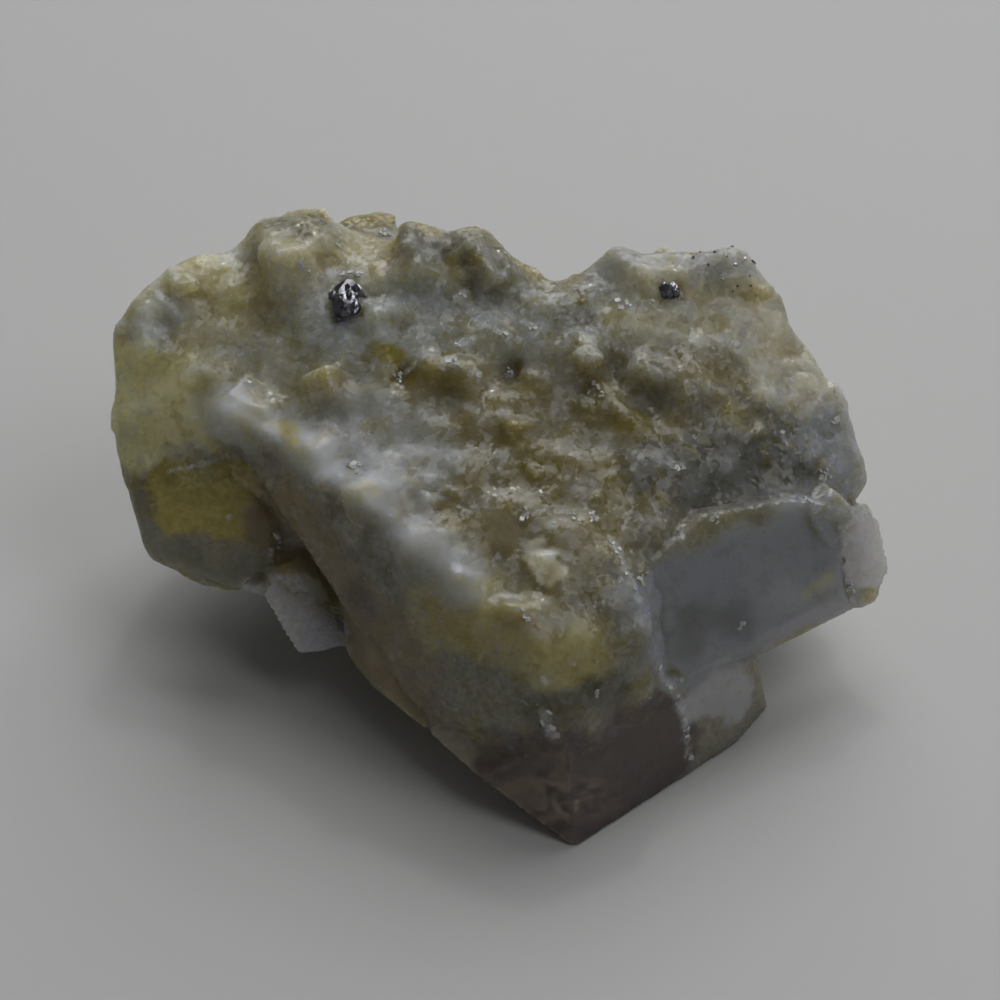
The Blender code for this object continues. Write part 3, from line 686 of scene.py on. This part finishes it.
def fluorite_material():
    n = Nodes("fluorite")
    shader = n.shader
    powder_zone, clarity, mark = n.attribute("powder"), n.attribute("clarity"), n.attribute("mark")
    hollow, clean, relief = n.attribute("hollow"), n.attribute("clean"), n.attribute("relief")
    rough_face = n.math("SUBTRACT", 1.0, clean)
    patches = n.noise(0.35, 3.0, 0.6)
    grains = n.noise(2.4, 2.0, 0.7)
    blotches = n.noise(0.9, 3.0, 0.65)
    streaks = n.streaks(0.55, 3.2)
    large, small, fine = (n.cells(scale, "Color") for scale in FACET_CELLS)
    chance = n.channel(large, 0)

    # White powder on the ridge, white bruises and painted glints at the marks, and faint streaks anywhere rough.
    cloud = n.math("MULTIPLY", n.math("SUBTRACT", patches, 0.55), 0.5)
    spread = n.math("ADD", n.math("MULTIPLY", powder_zone, 1.2), cloud)
    ridge = n.ramp(spread, 0.1, 1.25, 0.0, 0.85)
    # white bruises, with the painted glints among them
    bruise_and_glint = n.math("MULTIPLY", mark, n.ramp(grains, 0.35, 0.55, 0.45, 1.0))
    loose = n.ramp(streaks, 0.64, 0.74, 0.0, 0.5)
    loose = n.math("MULTIPLY", n.math("MULTIPLY", loose, rough_face), n.ramp(blotches, 0.4, 0.6, 0.15, 1.0))
    white = n.math("MAXIMUM", n.math("MAXIMUM", ridge, bruise_and_glint), loose, clamp=True)

    # Colour: the zone's tint, misted grey or deeper yellow facet by facet, painted shade in hollows (darker and
    # yellower where the skin is concave), then powder.
    tint = n.attribute("tint", "Color")
    facet_shift = n.math("MULTIPLY", n.math("SUBTRACT", n.math("ADD", chance, n.channel(small, 0)), 1.0), 0.11)
    patchy = n.math("ADD", patches, facet_shift)
    mist = n.math("MULTIPLY", n.ramp(patchy, 0.46, 0.68, 0.0, 0.4), rough_face)
    varied = n.mix(mist, tint, (0.42, 0.43, 0.43))
    yellow = n.math("MULTIPLY", n.ramp(patchy, 0.48, 0.34, 0.0, 0.42), rough_face)
    varied = n.mix(yellow, varied, (0.40, 0.33, 0.09))
    varied = n.mix(n.math("MULTIPLY", clean, n.ramp(blotches, 0.5, 0.34, 0.0, 0.25)), varied, (0.62, 0.58, 0.5),
                   "MULTIPLY")
    varied = n.mix(n.math("MULTIPLY", relief, n.ramp(grains, 0.62, 0.36, 0.0, 0.55)), varied, (0.60, 0.57, 0.48),
                   "MULTIPLY")
    varied = n.mix(n.math("MULTIPLY", relief, n.ramp(grains, 0.6, 0.75, 0.0, 0.35)), varied, (0.62, 0.62, 0.58))
    # painted shade: the colour is darkened and yellowed in the hollows
    painted_hollow_shade = n.mix(n.ramp(hollow, 0.0, 0.9, 0.0, 0.5), varied, (0.74, 0.69, 0.44), "MULTIPLY")
    colour = n.mix(n.math("MULTIPLY", white, 0.85), painted_hollow_shade, MARK_COLOUR)
    n.link(colour, shader.inputs["Base Color"])
    n.link(n.math("MULTIPLY", clarity, n.math("SUBTRACT", 1.0, n.math("MULTIPLY", white, 0.9))),
           shader.inputs["Transmission Weight"])

    rough = n.ramp(n.channel(small, 1), 0.1, 0.9, 0.08, 0.42)
    smooth = n.ramp(blotches, 0.4, 0.7, 0.07, 0.2)
    surface = n.add("ShaderNodeMix", data_type="FLOAT")
    n.link(clean, surface.inputs[0])
    n.link(rough, surface.inputs[2])
    n.link(smooth, surface.inputs[3])
    n.link(n.math("ADD", surface.outputs[0], n.math("MULTIPLY", white, 0.4), clamp=True), shader.inputs["Roughness"])

    uneven = n.math("MULTIPLY", rough_face, n.ramp(relief, 0.0, 0.9, 0.25, 1.0))
    even = n.math("SUBTRACT", uneven, n.math("MULTIPLY", white, 0.5), clamp=True)
    tilts = [n.math("MULTIPLY", even, tilt) for tilt in FACET_TILTS]
    n.link(n.facets(zip((large, small, fine), tilts)), shader.inputs["Normal"])

    shader.inputs["IOR"].default_value = FLUORITE_IOR
    shader.inputs["Subsurface Weight"].default_value = 1.0
    shader.inputs["Subsurface Radius"].default_value = GLOW_RADIUS
    shader.inputs["Subsurface Scale"].default_value = MM
    volume = n.add("ShaderNodeVolumeAbsorption")
    volume.inputs["Color"].default_value = (*ABSORPTION, 1.0)
    volume.inputs["Density"].default_value = ABSORPTION_DENSITY
    n.link(volume.outputs[0], n.output.inputs["Volume"])
    return n.material


def flake_material():
    n = Nodes("cleaved_fluorite")
    cloud = n.noise(1.2, 2.0)
    n.link(n.mix(n.ramp(cloud, 0.35, 0.65), (0.78, 0.80, 0.82), (0.56, 0.57, 0.52)), n.shader.inputs["Base Color"])
    n.shader.inputs["Roughness"].default_value = 0.22
    n.shader.inputs["IOR"].default_value = FLUORITE_IOR
    n.shader.inputs["Transmission Weight"].default_value = 0.25
    return n.material


def galena_material():
    n = Nodes("galena")
    tarnish = n.noise(1.6, 4.0, 0.6)
    n.link(n.mix(n.ramp(tarnish, 0.4, 0.7), (0.32, 0.32, 0.36), (0.07, 0.07, 0.085)), n.shader.inputs["Base Color"])
    n.link(n.ramp(tarnish, 0.35, 0.7, 0.16, 0.42), n.shader.inputs["Roughness"])
    n.link(n.bump(n.cells(4.0, feature="F1"), 0.25, 0.05), n.shader.inputs["Normal"])
    n.shader.inputs["Metallic"].default_value = 1.0
    return n.material


def floor_material():
    n = Nodes("floor")
    n.shader.inputs["Base Color"].default_value = (0.55, 0.55, 0.545, 1.0)
    n.shader.inputs["Roughness"].default_value = 0.6
    return n.material


# ---------------------------------------------------------------- pieces

def dress(obj, material):
    """Puts a finished piece into the row frame, on the root body, with its material."""
    obj.data.transform(TO_ROW)
    obj.data.shade_smooth()
    obj.data.set_sharp_from_angle(angle=math.radians(28))
    obj.data.materials.clear()
    obj.data.materials.append(material)
    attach(obj, "root")


def stepped_galena(node, rng):
    """A galena crystal with small cubes standing out of its faces like stairs."""
    core = node_mesh(node)
    centre = sum((v.co for v in core.verts), Vector()) / len(core.verts)
    whole = bmesh.new()
    spots = spots_on(core, rng, 60)
    add_mesh(whole, core)
    turn = Euler([math.radians(a) for a in (24, -18, 30)]).to_matrix()
    for spot, normal, _ in spots:
        size = rng.uniform(0.2, 0.5)
        place = spot + (centre - spot) * rng.uniform(0.05, 0.22)
        add_mesh(whole, hull(crystal_corners(place, (size, size, size), turn, rng, 0.05, 0.2)))
    return mesh_object(node.replace("crystal", "stepped"), whole)


def flake(place, normal, size, rng):
    """A thin broken flake that lies on the skin."""
    lie = normal.to_track_quat("Z", "Y").to_matrix()
    turn = Euler((rng.gauss(0, 0.3), rng.gauss(0, 0.3), rng.uniform(0, math.tau))).to_matrix()
    stretch = (size, size * rng.uniform(0.35, 0.9), size * 0.35)
    return hull(crystal_corners(place, stretch, lie @ turn, rng, 0.1, 0.8))


def fluorite_flakes(skin, rng):
    """White slivers along the marks, and sparks of cleaved fluorite on the rough upper faces."""
    tree = BVHTree.FromObject(skin, bpy.context.evaluated_depsgraph_get())
    whole = bmesh.new()
    for _, line, radius, strength in MARKS:
        if radius > SLIVER_REACH:
            continue
        points = on_skin(tree, line)
        length = sum((b - a).length for a, b in zip(points, points[1:]))
        for _ in range(round(strength * (3 + 1.3 * length / radius))):
            step = rng.uniform(0, len(points) - 1)
            spot = points[int(step)].lerp(points[min(int(step) + 1, len(points) - 1)], step % 1)
            spot += Vector([rng.gauss(0, 0.45 * radius) for _ in range(3)])
            place, normal, _, _ = tree.find_nearest(spot)
            add_mesh(whole, flake(place, normal, radius * rng.uniform(0.5, 1.3), rng))
    surface = bmesh.new()
    surface.from_mesh(skin.data)
    spots = spots_on(surface, rng, SPARKS)
    surface.free()
    rough = zone_values(np.array([spot for spot, _, _ in spots]))["relief"]
    upper = [spot[:2] for spot, relief in zip(spots, rough) if spot[1].z > -0.2 and rng.random() < relief]
    for spot, normal in upper:
        add_mesh(whole, flake(spot, normal, rng.uniform(*SPARK_SIZE), rng))
    level = [spot for spot, normal in upper if normal.z > CLUSTER_SLOPE]
    for middle in rng.sample(level, min(CLUSTERS, len(level))):
        radius = rng.uniform(*CLUSTER_RADIUS)
        for _ in range(CLUSTER_FLAKES):
            spot = Vector(middle) + Vector([rng.gauss(0, 0.5 * radius) for _ in range(3)])
            place, normal, _, _ = tree.find_nearest(spot)
            add_mesh(whole, flake(place, normal, radius * rng.uniform(0.4, 0.9), rng))
    flakes = mesh_object("fluorite_flakes", whole)
    keep_in_box(flakes)
    return flakes


def galena_specks(skin, rng):
    """Tiny galena cubes set into the right lobe."""
    tree = BVHTree.FromObject(skin, bpy.context.evaluated_depsgraph_get())
    whole = bmesh.new()
    for _ in range(18):
        over = Vector((rng.uniform(13.5, 18.0), rng.uniform(11.0, 15.0), 60))
        hit, normal, _, _ = tree.ray_cast(over, Vector((0, 0, -1)))
        if hit is None:
            continue
        size = rng.uniform(0.1, 0.2)
        turn = Euler([rng.uniform(0, math.tau) for _ in range(3)]).to_matrix()
        add_mesh(whole, hull(crystal_corners(hit, (size, size, size), turn, rng, 0.05, 0.3)))
    return mesh_object("galena_specks", whole)


def make_floor():
    bpy.ops.mesh.primitive_plane_add(size=4)
    floor = bpy.context.object
    floor.name = "floor"
    floor.data.materials.append(floor_material())


def make_camera():
    camera = bpy.data.objects.new("camera", bpy.data.cameras.new("camera"))
    bpy.context.scene.collection.objects.link(camera)
    camera.location = TO_ROW @ CAMERA_AT
    camera.rotation_euler = (math.radians(CAMERA_PITCH), 0, 0)
    camera.data.lens = LENS
    camera.data.sensor_width = 36
    camera.data.clip_start = 0.01
    camera.data.clip_end = 20
    bpy.context.scene.camera = camera


def soft_light(name, place, size, watts):
    light = bpy.data.lights.new(name, "AREA")
    light.shape = "DISK"
    light.size = size
    light.energy = watts
    obj = bpy.data.objects.new(name, light)
    bpy.context.scene.collection.objects.link(obj)
    obj.location = place
    obj.rotation_euler = (-Vector(place)).to_track_quat("-Z", "Y").to_euler()


def make_light():
    world = bpy.data.worlds.new("studio")
    world.use_nodes = True
    world.node_tree.nodes["Background"].inputs["Color"].default_value = (0.95, 0.97, 1.0, 1.0)
    world.node_tree.nodes["Background"].inputs["Strength"].default_value = 0.07
    bpy.context.scene.world = world
    soft_light("window_light", (0.12, 0.62, 0.62), 0.9, 5.2)
    soft_light("side_light", (0.38, -0.14, 0.69), 0.5, 1.0)
    soft_light("sparkle_light", (0.04, 0.52, 0.66), 0.07, 0.35)
    bpy.context.scene.view_settings.view_transform = "Standard"
    light_paths = bpy.context.scene.cycles
    light_paths.adaptive_threshold = 0.1
    light_paths.max_bounces = 8
    light_paths.diffuse_bounces = 3
    light_paths.glossy_bounces = 3
    light_paths.transmission_bounces = 6


def main():
    rng = random.Random(SEED + 1)
    skin = fine_skin()
    specks = galena_specks(skin, rng)
    flakes = fluorite_flakes(skin, rng)
    fluorite, galena = fluorite_material(), galena_material()
    dress(skin, fluorite)
    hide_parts("fluorite")
    for node in ("galena_crystal_large", "galena_crystal_small"):
        crystal = stepped_galena(node, rng)
        dress(crystal, galena)
        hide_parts(node)
    dress(specks, galena)
    dress(flakes, flake_material())
    make_floor()
    make_camera()
    make_light()


main()
